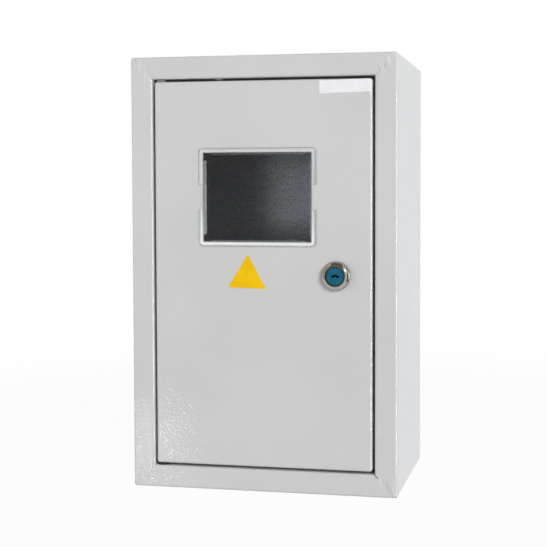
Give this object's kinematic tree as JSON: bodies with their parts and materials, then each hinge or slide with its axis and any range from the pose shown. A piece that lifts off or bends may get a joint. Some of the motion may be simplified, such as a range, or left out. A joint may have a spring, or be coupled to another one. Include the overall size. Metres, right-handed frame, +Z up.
{
  "type": "wall-mounted electrical cabinet",
  "caption": "Folded steel wall cabinet for electrical devices, with an inset hinged door, clear window, cam lock, mounting plate and rail.",
  "frame": {"origin": "middle of the rear face that lies on the wall, at the centre of the four wall holes", "axes": "+X to the right seen from the front, +Y into the wall, +Z up"},
  "size_m": [0.225, 0.145, 0.36],
  "materials": {
    "grey_paint": "fine-textured powder coat",
    "galvanised": "galvanised sheet with a fine spangle",
    "zinc_plate": "zinc plated",
    "clear_plastic": "clear, polished",
    "bright_chrome": "polished plating",
    "blue_plastic": "moulded, slightly glossy"
  },
  "bodies": {
    "cabinet": {"body_shell": "grey_paint", "rear_panel": "grey_paint", "plate_studs": "zinc_plate", "stud_back_nuts": "zinc_plate", "mounting_plate": "galvanised", "stud_washers": "zinc_plate", "stud_front_nuts": "zinc_plate", "mounting_rail": "galvanised", "rail_screws": "zinc_plate", "rail_nuts": "zinc_plate", "earth_stud": "zinc_plate", "earth_washer": "zinc_plate", "earth_nut": "zinc_plate"},
    "door": {"door_panel": "grey_paint", "upper_hinge_pin": "zinc_plate", "lower_hinge_pin": "zinc_plate", "hinge_washers": "zinc_plate", "window_pane": "clear_plastic", "door_earth_stud": "zinc_plate", "door_earth_washer": "zinc_plate", "door_earth_nut": "zinc_plate", "lock_housing": "bright_chrome", "lock_nut": "zinc_plate"},
    "latch": {"lock_core": "blue_plastic", "lock_cam": "zinc_plate", "cam_washer": "zinc_plate", "cam_screw": "zinc_plate"}
  },
  "joints": [
    {"name": "door_hinge", "type": "hinge", "parent": "cabinet", "child": "door", "pos_m": [-0.0871, -0.135, 0], "axis": [0, 0, -1], "range_deg": [0, 110]},
    {"name": "lock_turn", "type": "hinge", "parent": "door", "child": "latch", "pos_m": [0.0621, -0.13, 0], "axis": [0, -1, 0], "range_deg": [0, 90]}
  ]
}
